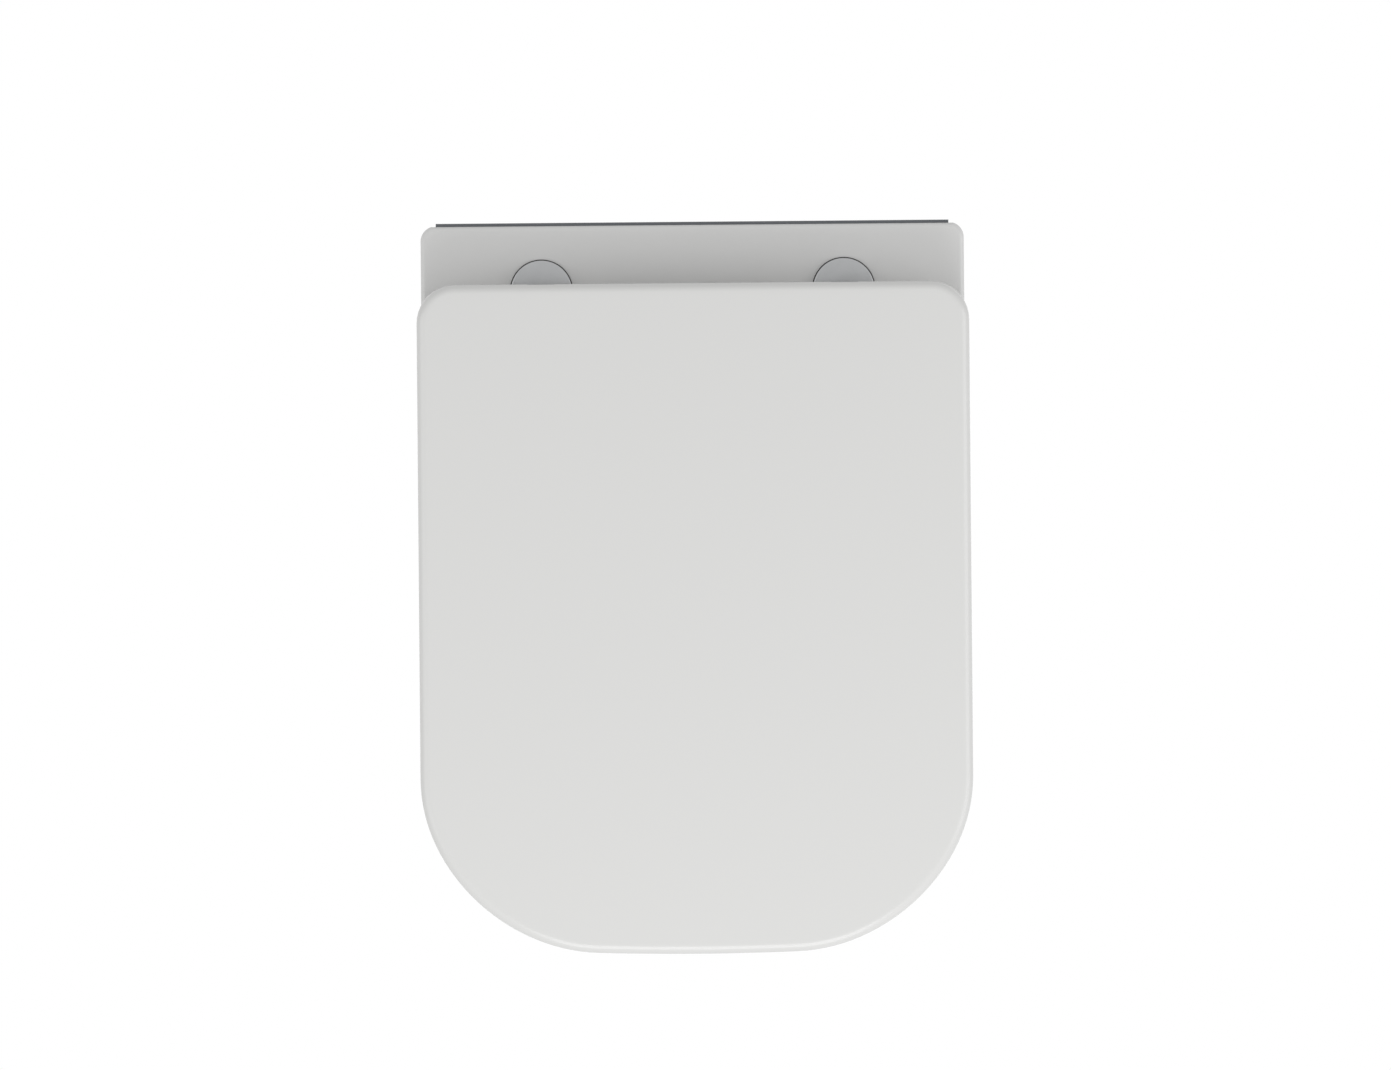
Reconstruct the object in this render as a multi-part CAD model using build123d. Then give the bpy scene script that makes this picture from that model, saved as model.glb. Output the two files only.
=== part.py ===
from build123d import *
from math import sqrt
import os

# Wall hung toilet: a glazed ceramic pan on two wall studs, with a soft-closing seat and lid.
# X runs along the wall, +Y points into the wall, Z is up. The origin lies on the wall face,
# midway between the two wall studs. Every size is in millimetres.

# Plan of the lid, seen from above
lid_width = 360.0
projection = 477.5
rear_ledge = 40.5
lid_corner_radius = 115.0
lid_bow_radius = 1880.0
lid_rear_corner_radius = 25.0
lid_edge_radius = 6.0

# Heights above and below the line of the wall studs
deck_rise = 80.0
foot_drop = 250.0
inlet_rise = 35.0
outlet_drop = 100.0

# Ceramic pan
pan_overhang = 2.5
pan_foot_width = 232.0
pan_foot_length = 292.0
pan_rear_corner_radius = 10.0
pan_foot_corner_radius = 34.0
pan_edge_radius = 3.0
pan_foot_edge_radius = 22.0
deck_thickness = 12.0
skirt_wall = 9.0
rear_wall = 12.0
foot_wall = 9.0
section_count = 6
wall_trim = 0.5
overcut = 10.0
ribs_into_deck = 4.0

# Bowl
rim_width = 45.0
rim_front_width = 40.0
bowl_rear = 152.0
bowl_wall = 9.0
sump_width = 74.0
sump_front = 262.0
sump_rear = 188.0
sump_edge_radius = 18.0
sump_floor_cover = 1.0
bowl_side_curve = 1.25
bowl_front_curve = 1.15
bowl_corner_share = 0.84
bowl_bow_share = 3.0
bowl_rear_corner_share = 0.6
rim_edge_radius = 7.0

# Water trap and its outlet spigot
trap_radius = 30.0
trap_wall = 9.0
trap_bend_radius = 46.0
trap_mouth = 230.0
trap_dip = 156.0
trap_crest = 100.0
spigot_radius = 51.0
spigot_wall = 8.0
spigot_setback = 5.0
spigot_length = 55.0
recess_gap = 18.0
recess_wall = 8.0

# Flush inlet and its rubber seal
inlet_socket_radius = 27.5
inlet_socket_depth = 42.0
inlet_wall = 9.5
flush_channel_radius = 22.0
seal_fit = 0.2
flush_pipe_bore = 22.6
seal_flange_radius = 33.0

# Wall fixing
stud_spacing = 180.0
stud_hole_radius = 9.0
flange_thickness = 18.0
fixing_recess_inward = 22.5
fixing_recess_length = 75.0
fixing_recess_top = 26.0
fixing_recess_drop = 34.0
fixing_recess_radius = 12.0
mat_thickness = 2.0
mat_hole_gap = 1.0
sleeve_fit = 0.2
stud_clearance_radius = 6.3
sleeve_flange_radius = 13.0
sleeve_flange = 2.5
washer_radius = 15.0
washer_bore_radius = 6.5
washer_thickness = 2.5
nut_width = 19.0
nut_thickness = 10.0
nut_bore_radius = 6.05
cap_wall = 1.6
cap_nut_gap = 0.5
cap_stud_room = 7.0

# Hinge line, shared by the seat and the lid
disc_spacing = 197.5
disc_from_wall = 44.6
axis_above_deck = 30.0
knuckle_radius = 10.0
knuckle_length = 28.0
knuckle_side_gap = 0.5
knuckle_rear_gap = 2.0
pin_radius = 4.0
bush_wall = 2.0
running_gap = 0.05
press_gap = 0.02

# Hinge bracket, its cover disc and what clamps it to the deck
bracket_width = 16.0
bracket_head_radius = 9.0
bracket_foot = 3.4
bracket_riser = 8.5
bracket_arm_rise = 6.0
bracket_bend_radius = 3.0
bracket_lid_room = 19.5
bracket_heel = 7.6
disc_radius = 20.0
disc_wall = 1.0
disc_skin = 0.8
disc_edge_radius = 0.7
gasket_radius = 20.7
gasket_thickness = 0.8
hinge_hole_radius = 7.0
hinge_bolt_radius = 3.0
hinge_bolt_head_radius = 6.0
bush_length = 26.0
clamp_nut_length = 6.0
bolt_tip = 2.0

# Rotary dampers
damper_radius = 7.4
damper_length = 24.0
damper_wall = 1.4
damper_end = 3.0
rotor_radius = 3.0
rotor_flat = 4.6
vane_gap = 0.3
vane_thickness = 2.0

# Seat
seat_inset = 1.5
seat_gap = 5.0
seat_top_drop = 4.5
seat_rear_gap = 3.0
seat_rear_corner_radius = 12.0
seat_outer_edge_radius = 7.0
seat_inner_edge_radius = 8.0
seat_skin = 5.0
seat_wall = 6.0
seat_side_width = 70.5
seat_front_width = 62.0
opening_rear = 165.0
opening_corner_radius = 92.0
opening_bow_radius = 330.0
opening_rear_radius = 62.0
seat_cheek = 4.0
bracket_room = 1.5

# Hinge blocks under the seat and the lid
seat_arm_width = 22.0
seat_arm_length = 52.0
seat_arm_thickness = 6.0
seat_arm_cover = 6.5
block_fit = 0.2
screw_radius = 2.0
screw_head_radius = 4.0
screw_head = 2.4
screw_inset = 9.0
screw_pitch = 17.0
screw_skin = 2.0

# Lid
lid_above_axis = 20.0
lid_below_axis = 3.0
lid_skin = 5.0
lid_wall = 4.0
lid_pad = 4.0
lid_bottom_radius = 1.0
lid_arm_length = 52.0
lid_arm_thickness = 6.0
lid_swing_gap = 2.0

# Rubber feet of the seat and the lid
foot_radius = 11.0
foot_peg_radius = 3.0
foot_peg_length = 7.0
foot_boss_radius = 13.0
front_foot_from_side = 84.0
front_foot_from_front = 35.5
rear_foot_from_side = 28.0
rear_foot_from_wall = 190.0
pad_radius = 7.0
pad_peg_length = 5.0
pad_boss_radius = 8.0
front_pad_from_side = 82.0
front_pad_from_front = 47.5
rear_pad_from_side = 34.0
rear_pad_from_wall = 185.0

# Places that follow from the sizes above
deck_z = deck_rise
foot_z = -foot_drop
inlet_z = inlet_rise
outlet_z = -outlet_drop
back_y = -mat_thickness
flange_y = back_y - flange_thickness
pan_half = lid_width / 2 - pan_overhang
pan_front = projection - pan_overhang
pan_corner_radius = lid_corner_radius - pan_overhang
bowl_half = pan_half - rim_width
bowl_front = pan_front - rim_front_width
sump_z = foot_z + foot_wall + sump_floor_cover
trap_z = sump_z + trap_radius
stud_x = stud_spacing / 2
disc_x = disc_spacing / 2
disc_y = -disc_from_wall
axis_z = deck_z + axis_above_deck
rear_overhang = knuckle_radius + knuckle_rear_gap + lid_wall
axis_y = -(rear_ledge + rear_overhang)
lid_top_z = axis_z + lid_above_axis
lid_bottom_z = axis_z - lid_below_axis
seat_bottom_z = deck_z + seat_gap
seat_top_z = axis_z - seat_top_drop
seat_rear_y = axis_y - knuckle_radius - seat_rear_gap
bracket_inner_x = disc_x - bracket_width / 2
bracket_outer_x = disc_x + bracket_width / 2
bracket_base_z = deck_z + gasket_thickness
bracket_foot_top_z = bracket_base_z + bracket_foot
riser_rear_y = axis_y - bracket_lid_room
riser_front_y = riser_rear_y - bracket_riser
seat_block_x = bracket_outer_x + knuckle_side_gap
lid_block_x = bracket_inner_x - knuckle_side_gap
opening_half = lid_width / 2 - seat_inset - seat_side_width
opening_front = projection - seat_inset - seat_front_width
seat_arm_top_z = seat_top_z - seat_arm_cover
seat_arm_bottom_z = seat_arm_top_z - seat_arm_thickness
lid_arm_top_z = lid_top_z - lid_skin - lid_pad
lid_arm_bottom_z = lid_arm_top_z - lid_arm_thickness
sides = {"left": -1, "right": 1}


# Simple solids along the axes
def block(x0, x1, y0, y1, z0, z1):
    """A box between two corners given in any order."""
    centre = Pos((x0 + x1) / 2, (y0 + y1) / 2, (z0 + z1) / 2)
    return centre * Box(abs(x1 - x0), abs(y1 - y0), abs(z1 - z0))


def rod_x(radius, x0, x1, y=axis_y, z=axis_z):
    """A round bar along X, on the hinge line unless told otherwise."""
    return Pos((x0 + x1) / 2, y, z) * Rot(0, 90, 0) * Cylinder(radius, abs(x1 - x0))


def rod_y(radius, y0, y1, x, z):
    """A round bar along Y."""
    return Pos(x, (y0 + y1) / 2, z) * Rot(90, 0, 0) * Cylinder(radius, abs(y1 - y0))


def rod_z(radius, z0, z1, x, y):
    """A round bar along Z."""
    return Pos(x, y, (z0 + z1) / 2) * Cylinder(radius, abs(z1 - z0))


def one(shape):
    """The single solid that a boolean operation left."""
    solids = shape.solids()
    assert len(solids) == 1, f"{len(solids)} solids"
    return solids[0]


# Plan outlines
def d_face(half_width, front, rear, corner, bow, rear_corner):
    """A D-shaped face on z = 0: front and rear are distances from the wall."""
    bow_y = bow - front
    corner_x = half_width - corner
    corner_y = bow_y - sqrt((bow - corner) ** 2 - corner_x**2)
    reach = bow / (bow - corner)
    tangent = (corner_x * reach, bow_y + (corner_y - bow_y) * reach)
    middle = Vector(tangent[0] - corner_x, tangent[1] - corner_y).normalized() + Vector(1, 0)
    middle = middle.normalized() * corner
    rear_y = -rear
    slant = rear_corner * (1 - sqrt(0.5))
    outline = [
        Line((half_width, corner_y), (half_width, rear_y - rear_corner)),
        ThreePointArc(
            (half_width, rear_y - rear_corner),
            (half_width - slant, rear_y - slant),
            (half_width - rear_corner, rear_y),
        ),
        Line((half_width - rear_corner, rear_y), (rear_corner - half_width, rear_y)),
        ThreePointArc(
            (rear_corner - half_width, rear_y),
            (slant - half_width, rear_y - slant),
            (-half_width, rear_y - rear_corner),
        ),
        Line((-half_width, rear_y - rear_corner), (-half_width, corner_y)),
        ThreePointArc(
            (-half_width, corner_y),
            (-corner_x - middle.X, corner_y + middle.Y),
            (-tangent[0], tangent[1]),
        ),
        ThreePointArc((-tangent[0], tangent[1]), (0, -front), tangent),
        ThreePointArc(
            tangent,
            (corner_x + middle.X, corner_y + middle.Y),
            (half_width, corner_y),
        ),
    ]
    return make_face(outline)


def levels(top, bottom):
    """Evenly spaced heights from top to bottom for a loft."""
    return [top + (bottom - top) * i / (section_count - 1) for i in range(section_count)]


def taper(top, foot, z):
    """A size of the pan's outside at one height, easing from its deck value to its foot value."""
    return top + (foot - top) * ((deck_z - z) / (deck_z - foot_z)) ** 2


def pan_section(z, inset):
    """The pan's outside at one height, taken in by inset."""
    half_width = taper(pan_half, pan_foot_width / 2, z)
    rear_corner = taper(pan_rear_corner_radius, pan_foot_corner_radius, z)
    return Pos(0, 0, z) * d_face(
        half_width - inset,
        taper(pan_front, pan_foot_length, z) - inset,
        (rear_wall if inset else -wall_trim) - back_y,
        pan_corner_radius * half_width / pan_half - inset,
        lid_bow_radius - inset,
        max(rear_corner - inset, 1.0),
    )


def bowl_section(z, grow):
    """The bowl's inside at one height, let out by grow."""
    depth = (deck_z - z) / (deck_z - sump_z)
    half_width = bowl_half - (bowl_half - sump_width / 2) * depth**bowl_side_curve
    front = bowl_front - (bowl_front - sump_front) * depth**bowl_front_curve
    rear = bowl_rear + (sump_rear - bowl_rear) * depth
    return Pos(0, 0, z) * d_face(
        half_width + grow,
        front + grow,
        rear - grow,
        bowl_corner_share * half_width + grow,
        bowl_bow_share * half_width + grow,
        bowl_rear_corner_share * half_width + grow,
    )


# Ceramic pan
def trap_tube(radius, last_y):
    """The round water passage, from the sump over the weir to last_y."""
    bends = FilletPolyline(
        (0, -trap_mouth, trap_z),
        (0, -trap_dip, trap_z),
        (0, -trap_crest, outlet_z),
        (0, last_y, outlet_z),
        radius=trap_bend_radius,
    )
    section = Plane(bends @ 0, x_dir=(1, 0, 0), z_dir=(0, 1, 0)) * Circle(radius)
    return sweep(section, path=bends)


def fixing_recess(side, wall):
    """The side recess behind which a wall stud is tightened, let out by wall."""
    inner_x = stud_x - fixing_recess_inward - wall
    y0 = flange_y + wall
    y1 = flange_y - fixing_recess_length - wall
    z0 = -fixing_recess_drop - wall
    z1 = fixing_recess_top + wall
    room = block(side * inner_x, side * (pan_half + overcut), y0, y1, z0, z1)
    return fillet(room.edges().filter_by(Axis.X), fixing_recess_radius + wall)


def make_pan():
    """The vitreous china casting: skirt, deck, bowl, trap, inlet, outlet and stud flange."""
    outside = loft([pan_section(z, 0) for z in levels(deck_z, foot_z)])
    behind = block(
        -pan_half - overcut,
        pan_half + overcut,
        back_y,
        back_y + overcut,
        foot_z - overcut,
        deck_z + overcut,
    )
    outside = one(outside - behind)
    outside = fillet(outside.faces().sort_by(Axis.Z)[-1].edges(), pan_edge_radius)
    outside = fillet(outside.faces().sort_by(Axis.Z)[0].edges(), pan_foot_edge_radius)

    heights = levels(deck_z - deck_thickness, foot_z + foot_wall)
    hollow = loft([pan_section(z, skirt_wall) for z in heights])

    ribs = loft([bowl_section(z, bowl_wall) for z in levels(deck_z - ribs_into_deck, sump_z - bowl_wall)])
    ribs += trap_tube(trap_radius + trap_wall, back_y - 2 * overcut)
    ribs += rod_y(inlet_socket_radius + inlet_wall, back_y, -bowl_rear - overcut, 0, inlet_z)
    recess_radius = spigot_radius + recess_gap
    recess_floor = back_y - spigot_setback - spigot_length
    ribs += rod_y(recess_radius + recess_wall, back_y, recess_floor - recess_wall, 0, outlet_z)
    for side in sides.values():
        ribs += fixing_recess(side, skirt_wall)
    pan = outside - hollow + (ribs & outside)

    bowl = loft([bowl_section(z, 0) for z in levels(deck_z, sump_z)])
    pan -= fillet(bowl.faces().sort_by(Axis.Z)[0].edges(), sump_edge_radius)
    pan -= trap_tube(trap_radius, recess_floor)
    annulus = rod_y(recess_radius, back_y + 5, recess_floor, 0, outlet_z)
    annulus -= rod_y(spigot_radius, back_y - spigot_setback, recess_floor - 1, 0, outlet_z)
    pan -= annulus
    pan -= rod_y(
        spigot_radius - spigot_wall, back_y + 5, recess_floor - recess_wall / 2, 0, outlet_z
    )
    pan -= rod_y(
        inlet_socket_radius, back_y + 5, back_y - inlet_socket_depth, 0, inlet_z
    )
    pan -= rod_y(flush_channel_radius, back_y, -bowl_rear - 2 * overcut, 0, inlet_z)
    for side in sides.values():
        pan -= fixing_recess(side, 0)
        pan -= rod_y(stud_hole_radius, back_y + 5, flange_y - 1, side * stud_x, 0)
        pan -= rod_z(
            hinge_hole_radius, deck_z + 1, deck_z - deck_thickness - 5, side * disc_x, disc_y
        )
    pan = one(pan)
    deck = pan.faces().filter_by(Plane.XY).sort_by(Axis.Z)[-1]
    rim = max(deck.inner_wires(), key=lambda wire: wire.length)
    return one(fillet(rim.edges(), rim_edge_radius))


# Fixing to the wall
def make_wall_mat():
    """The thin foam mat that keeps the ceramic off the wall."""
    top_z, bottom_z = deck_z - pan_edge_radius, foot_z + pan_foot_edge_radius
    edge = []
    for z in levels(top_z, bottom_z):
        half_width = taper(pan_half, pan_foot_width / 2, z)
        edge.append((half_width - taper(pan_rear_corner_radius, pan_foot_corner_radius, z), z))
    outline = [
        Spline(*edge),
        Line(edge[-1], (-edge[-1][0], bottom_z)),
        Spline(*[(-x, z) for x, z in reversed(edge)]),
        Line((-edge[0][0], top_z), edge[0]),
    ]
    mat = extrude(Plane.XZ * make_face(outline), amount=mat_thickness)
    mat -= rod_y(seal_flange_radius + mat_hole_gap, 1, back_y - 1, 0, inlet_z)
    mat -= rod_y(spigot_radius + recess_gap, 1, back_y - 1, 0, outlet_z)
    for side in sides.values():
        mat -= rod_y(stud_hole_radius, 1, back_y - 1, side * stud_x, 0)
    return one(mat)


def on_studs(make):
    """The same small part on both wall studs."""
    return Compound(children=[make(side * stud_x) for side in sides.values()])


def stud_sleeve(x):
    sleeve = rod_y(stud_hole_radius - sleeve_fit, 0, flange_y, x, 0)
    sleeve += rod_y(sleeve_flange_radius, flange_y, flange_y - sleeve_flange, x, 0)
    return one(sleeve - rod_y(stud_clearance_radius, 1, flange_y - sleeve_flange - 1, x, 0))


def stud_washer(x):
    face = flange_y - sleeve_flange
    washer = rod_y(washer_radius, face, face - washer_thickness, x, 0)
    return one(washer - rod_y(washer_bore_radius, face + 1, face - washer_thickness - 1, x, 0))


def hexagon(width, y0, y1, x):
    """A hexagonal bar along Y, with its across-flats width given."""
    profile = Plane((x, y0, 0), x_dir=(1, 0, 0), z_dir=(0, -1, 0))
    return extrude(profile * RegularPolygon(width / sqrt(3), 6), amount=y0 - y1)


def stud_nut(x):
    face = flange_y - sleeve_flange - washer_thickness
    nut = hexagon(nut_width, face, face - nut_thickness, x)
    return one(nut - rod_y(nut_bore_radius, face + 1, face - nut_thickness - 1, x, 0))


def stud_cap(x):
    face = flange_y - sleeve_flange - washer_thickness
    room_radius = nut_width / sqrt(3) + cap_nut_gap
    room_end = face - nut_thickness - cap_stud_room
    cap = rod_y(room_radius + cap_wall, face, room_end - cap_wall, x, 0)
    cap = fillet(cap.edges().sort_by(Axis.Y)[0], cap_wall)
    return one(cap - rod_y(room_radius, face + 1, room_end, x, 0))


def make_flush_inlet_seal():
    """The rubber collar in the ceramic inlet that takes the flush pipe."""
    seal = rod_y(
        inlet_socket_radius - seal_fit, back_y, back_y - inlet_socket_depth + 1, 0, inlet_z
    )
    seal += rod_y(seal_flange_radius, 0, back_y, 0, inlet_z)
    return one(seal - rod_y(flush_pipe_bore, 1, back_y - inlet_socket_depth, 0, inlet_z))


# Hinge parts that stay on the pan
def flatted(radius, flat, x0, x1):
    """A round bar on the hinge line with two flats."""
    return rod_x(radius, x0, x1) & block(
        x0, x1, axis_y - radius, axis_y + radius, axis_z - flat / 2, axis_z + flat / 2
    )


def damper_side(name):
    """True where the seat's damper sits: the seat is damped on the left, the lid on the right."""
    return name == "left"


def make_hinge_bracket(name):
    """The cranked bracket: foot on the deck, riser in front, arm back to the hinge line."""
    side = sides[name]
    x0, x1 = side * bracket_inner_x, side * bracket_outer_x
    heel_y = disc_y + bracket_heel
    foot = block(x0, x1, heel_y, riser_front_y, bracket_base_z, bracket_foot_top_z)
    riser = block(
        x0, x1, riser_rear_y, riser_front_y, bracket_base_z, axis_z + bracket_arm_rise
    )
    arm = block(
        x0, x1, axis_y, riser_front_y, axis_z - bracket_arm_rise, axis_z + bracket_arm_rise
    )
    bracket = foot + riser + arm
    front = bracket.edges().filter_by(Axis.X).group_by(Axis.Y)[0]
    bracket = fillet(front, bracket_bend_radius)
    bracket += rod_x(bracket_head_radius, x0, x1)
    bolt_room = hinge_bolt_radius + 2 * running_gap
    bracket -= rod_z(bolt_room, bracket_base_z - 1, bracket_foot_top_z + 1, side * disc_x, disc_y)
    bracket -= bolt_head(side, 2 * running_gap)
    pin_start, rotor_start = x1, x0
    if damper_side(name):
        pin_start, rotor_start = x0, x1
    middle = side * disc_x
    bracket -= rod_x(pin_radius + press_gap, pin_start, middle)
    gap = rotor_radius + press_gap
    bracket -= flatted(gap, rotor_flat + 2 * press_gap, rotor_start, middle)
    return one(bracket)


def bolt_head(side, gap):
    """The countersunk head of a hinge bolt, let out by gap."""
    height = hinge_bolt_head_radius - hinge_bolt_radius
    top = bracket_foot_top_z
    cone = Cone(hinge_bolt_radius + gap, hinge_bolt_head_radius + gap, height)
    return Pos(side * disc_x, disc_y, top - height / 2) * cone


def make_hinge_disc(name):
    """The round metal cover over the bracket's foot."""
    x = sides[name] * disc_x
    top = bracket_foot_top_z + disc_skin
    disc = rod_z(disc_radius, bracket_base_z, top, x, disc_y)
    disc = fillet(disc.edges().sort_by(Axis.Z)[-1], disc_edge_radius)
    disc -= rod_z(disc_radius - disc_wall, bracket_base_z - 1, bracket_foot_top_z, x, disc_y)
    slot = bracket_width / 2 + 2 * running_gap
    disc -= block(
        x - slot, x + slot, disc_y, disc_y - disc_radius - 1, bracket_base_z - 1, bracket_foot_top_z
    )
    return one(disc)


def on_hinges(make):
    """The same small part under both hinge discs."""
    return Compound(children=[make(side) for side in sides.values()])


def hinge_gasket(side):
    gasket = rod_z(gasket_radius, deck_z, bracket_base_z, side * disc_x, disc_y)
    return one(gasket - rod_z(hinge_hole_radius, deck_z - 1, axis_z, side * disc_x, disc_y))


def hinge_bolt(side):
    nut_bottom = deck_z - bush_length - clamp_nut_length
    shank = rod_z(
        hinge_bolt_radius, bracket_base_z + 1, nut_bottom - bolt_tip, side * disc_x, disc_y
    )
    return one(shank + bolt_head(side, 0))


def hinge_bush(side):
    bush = rod_z(
        hinge_hole_radius - press_gap, deck_z, deck_z - bush_length, side * disc_x, disc_y
    )
    bore = hinge_bolt_radius + press_gap
    return one(bush - rod_z(bore, deck_z + 1, deck_z - bush_length - 1, side * disc_x, disc_y))


def hinge_clamp_nut(side):
    top = deck_z - bush_length
    x = side * disc_x
    nut = rod_z(hinge_hole_radius - 2 * press_gap, top, top - clamp_nut_length, x, disc_y)
    bore = hinge_bolt_radius + press_gap
    return one(nut - rod_z(bore, top + 1, top - clamp_nut_length - 1, x, disc_y))


# Pins, bushes and dampers on the hinge line
def knuckle_span(name, of_seat):
    """The two ends of a hinge knuckle, the one beside the bracket first."""
    side = sides[name]
    if of_seat:
        return side * seat_block_x, side * (seat_block_x + knuckle_length)
    return side * lid_block_x, side * (lid_block_x - knuckle_length)


def pin_span(name, of_seat):
    """A plain pin's ends: inside the bracket head, then inside the knuckle."""
    near, far = knuckle_span(name, of_seat)
    away = 1 if far > near else -1
    return near, far - away * damper_end, away


def make_pin(name, of_seat):
    _, far, away = pin_span(name, of_seat)
    return rod_x(pin_radius, sides[name] * disc_x + away * press_gap, far - away * running_gap)


def make_pin_bush(name, of_seat):
    near, far, away = pin_span(name, of_seat)
    bush = rod_x(pin_radius + bush_wall, near, far)
    return one(bush - rod_x(pin_radius + running_gap, near - away, far + away))


def make_damper_housing(name, of_seat):
    """The damper's closed cylinder, with one fixed rib inside."""
    near, far = knuckle_span(name, of_seat)
    away = 1 if far > near else -1
    end = near + away * damper_length
    housing = rod_x(damper_radius, near, end)
    room = damper_radius - damper_wall
    room_start, room_end = near + away * damper_end, end - away * damper_end
    housing -= rod_x(room, room_start, room_end)
    housing -= rod_x(rotor_radius + running_gap, near - away, room_start + away)
    rib = block(
        room_start,
        room_end,
        axis_y - damper_wall / 2,
        axis_y + damper_wall / 2,
        axis_z + rotor_radius + vane_gap,
        axis_z + room + damper_wall / 2,
    )
    return one(housing + rib)


def make_damper_rotor(name, of_seat):
    """The damper's flatted shaft and vane, held still by the bracket."""
    near, far = knuckle_span(name, of_seat)
    away = 1 if far > near else -1
    start = near + away * (damper_end + vane_gap)
    end = near + away * (damper_length - damper_end - vane_gap)
    rotor = rod_x(rotor_radius, near, end)
    tip = sides[name] * disc_x + away * press_gap
    rotor += flatted(rotor_radius, rotor_flat, tip, near)
    reach = damper_radius - damper_wall - vane_gap
    rotor += block(
        start, end, axis_y, axis_y - reach, axis_z - vane_thickness / 2, axis_z + vane_thickness / 2
    )
    return one(rotor)


def knuckle_bore(name, of_seat):
    """The hole in a knuckle for its damper or for its bush."""
    near, far = knuckle_span(name, of_seat)
    away = 1 if far > near else -1
    if damper_side(name) == of_seat:
        return rod_x(damper_radius + press_gap, near - away, near + away * damper_length)
    _, end, _ = pin_span(name, of_seat)
    return rod_x(pin_radius + bush_wall + press_gap, near - away, end)


# Seat
def seat_outline(inset):
    """The seat's outer edge, taken in by inset."""
    return d_face(
        lid_width / 2 - seat_inset - inset,
        projection - seat_inset - inset,
        -seat_rear_y + inset,
        lid_corner_radius - seat_inset - inset,
        lid_bow_radius - seat_inset - inset,
        seat_rear_corner_radius - inset,
    )


def seat_opening(grow):
    """The opening in the seat, let out by grow."""
    return d_face(
        opening_half + grow,
        opening_front + grow,
        opening_rear - grow,
        opening_corner_radius + grow,
        opening_bow_radius + grow,
        opening_rear_radius + grow,
    )


def seat_arm_span(name):
    """The hinge arm under the seat: its two ends in X."""
    side = sides[name]
    first = seat_block_x + (knuckle_length - seat_arm_width) / 2
    return side * first, side * (first + seat_arm_width)


def lid_arm_span(name):
    """The hinge arm under the lid: its two ends in X."""
    side = sides[name]
    return side * lid_block_x, side * (lid_block_x - knuckle_length)


def foot_places():
    """The four rubber feet of the seat, in plan."""
    for side in sides.values():
        yield side * (lid_width / 2 - front_foot_from_side), front_foot_from_front - projection
        yield side * (lid_width / 2 - rear_foot_from_side), -rear_foot_from_wall


def pad_places():
    """The four small pads of the lid, in plan."""
    for side in sides.values():
        yield side * (lid_width / 2 - front_pad_from_side), front_pad_from_front - projection
        yield side * (lid_width / 2 - rear_pad_from_side), -rear_pad_from_wall


def screw_places(name, arm_span, arm_length):
    """The two screws through one hinge arm, in plan."""
    x = sum(arm_span(name)) / 2
    last = axis_y - arm_length + screw_inset
    return [(x, last), (x, last + screw_pitch)]


def make_seat_ring():
    """The seat: a moulded ring, hollow underneath, with solid cheeks for its hinge blocks."""
    height = seat_top_z - seat_bottom_z
    at = Pos(0, 0, seat_bottom_z)
    ring = extrude(at * (seat_outline(0) - seat_opening(0)), amount=height)
    top = ring.faces().sort_by(Axis.Z)[-1]
    ring = fillet(top.outer_wire().edges(), seat_outer_edge_radius)
    top = ring.faces().sort_by(Axis.Z)[-1]
    ring = fillet(top.inner_wires().edges(), seat_inner_edge_radius)
    hollow_plan = seat_outline(seat_wall) - seat_opening(seat_wall)
    hollow = extrude(at * hollow_plan, amount=height - seat_skin)
    for name in sides:
        x0, x1 = seat_arm_span(name)
        hollow -= block(
            x0 - sides[name] * (seat_cheek + bracket_width),
            x1 + sides[name] * seat_cheek,
            seat_rear_y,
            axis_y - seat_arm_length - seat_cheek,
            seat_bottom_z,
            seat_top_z,
        )
    for x, y in foot_places():
        hollow -= rod_z(foot_boss_radius, seat_bottom_z, seat_top_z, x, y)
    ring -= hollow
    for name, side in sides.items():
        x0, x1 = seat_arm_span(name)
        ring -= block(
            side * (bracket_inner_x - knuckle_side_gap - bracket_room),
            side * (bracket_outer_x + knuckle_side_gap),
            seat_rear_y + 1,
            riser_front_y - bracket_room,
            seat_bottom_z - 1,
            seat_top_z + 1,
        )
        ring -= block(
            x0 - side * block_fit,
            x1 + side * block_fit,
            seat_rear_y + 1,
            axis_y - seat_arm_length - block_fit,
            seat_bottom_z - 1,
            seat_arm_top_z,
        )
        for x, y in screw_places(name, seat_arm_span, seat_arm_length):
            ring -= rod_z(screw_radius + press_gap, seat_arm_top_z - 1, seat_top_z - screw_skin, x, y)
    for x, y in foot_places():
        ring -= rod_z(
            foot_peg_radius + press_gap, seat_bottom_z - 1, seat_bottom_z + foot_peg_length, x, y
        )
    return one(ring)


def make_seat_buffers():
    """Four rubber feet that carry the seat on the rim."""
    feet = []
    for x, y in foot_places():
        foot = rod_z(foot_radius, deck_z, seat_bottom_z, x, y)
        foot += rod_z(foot_peg_radius, seat_bottom_z, seat_bottom_z + foot_peg_length, x, y)
        feet.append(one(foot))
    return Compound(children=feet)


def make_seat_block(name):
    """A hinge knuckle with the arm that is screwed under the seat."""
    near, far = knuckle_span(name, True)
    x0, x1 = seat_arm_span(name)
    body = rod_x(knuckle_radius, near, far)
    rear = axis_y - lid_below_axis - lid_swing_gap
    front = axis_y - seat_arm_length
    body += block(x0, x1, rear, front, seat_arm_bottom_z, seat_arm_top_z)
    body += block(x0, x1, rear, axis_y - knuckle_radius, seat_arm_bottom_z, axis_z)
    body -= knuckle_bore(name, True)
    for x, y in screw_places(name, seat_arm_span, seat_arm_length):
        body -= rod_z(screw_radius + 2 * press_gap, seat_arm_bottom_z - 1, seat_arm_top_z + 1, x, y)
    return one(body)


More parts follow.
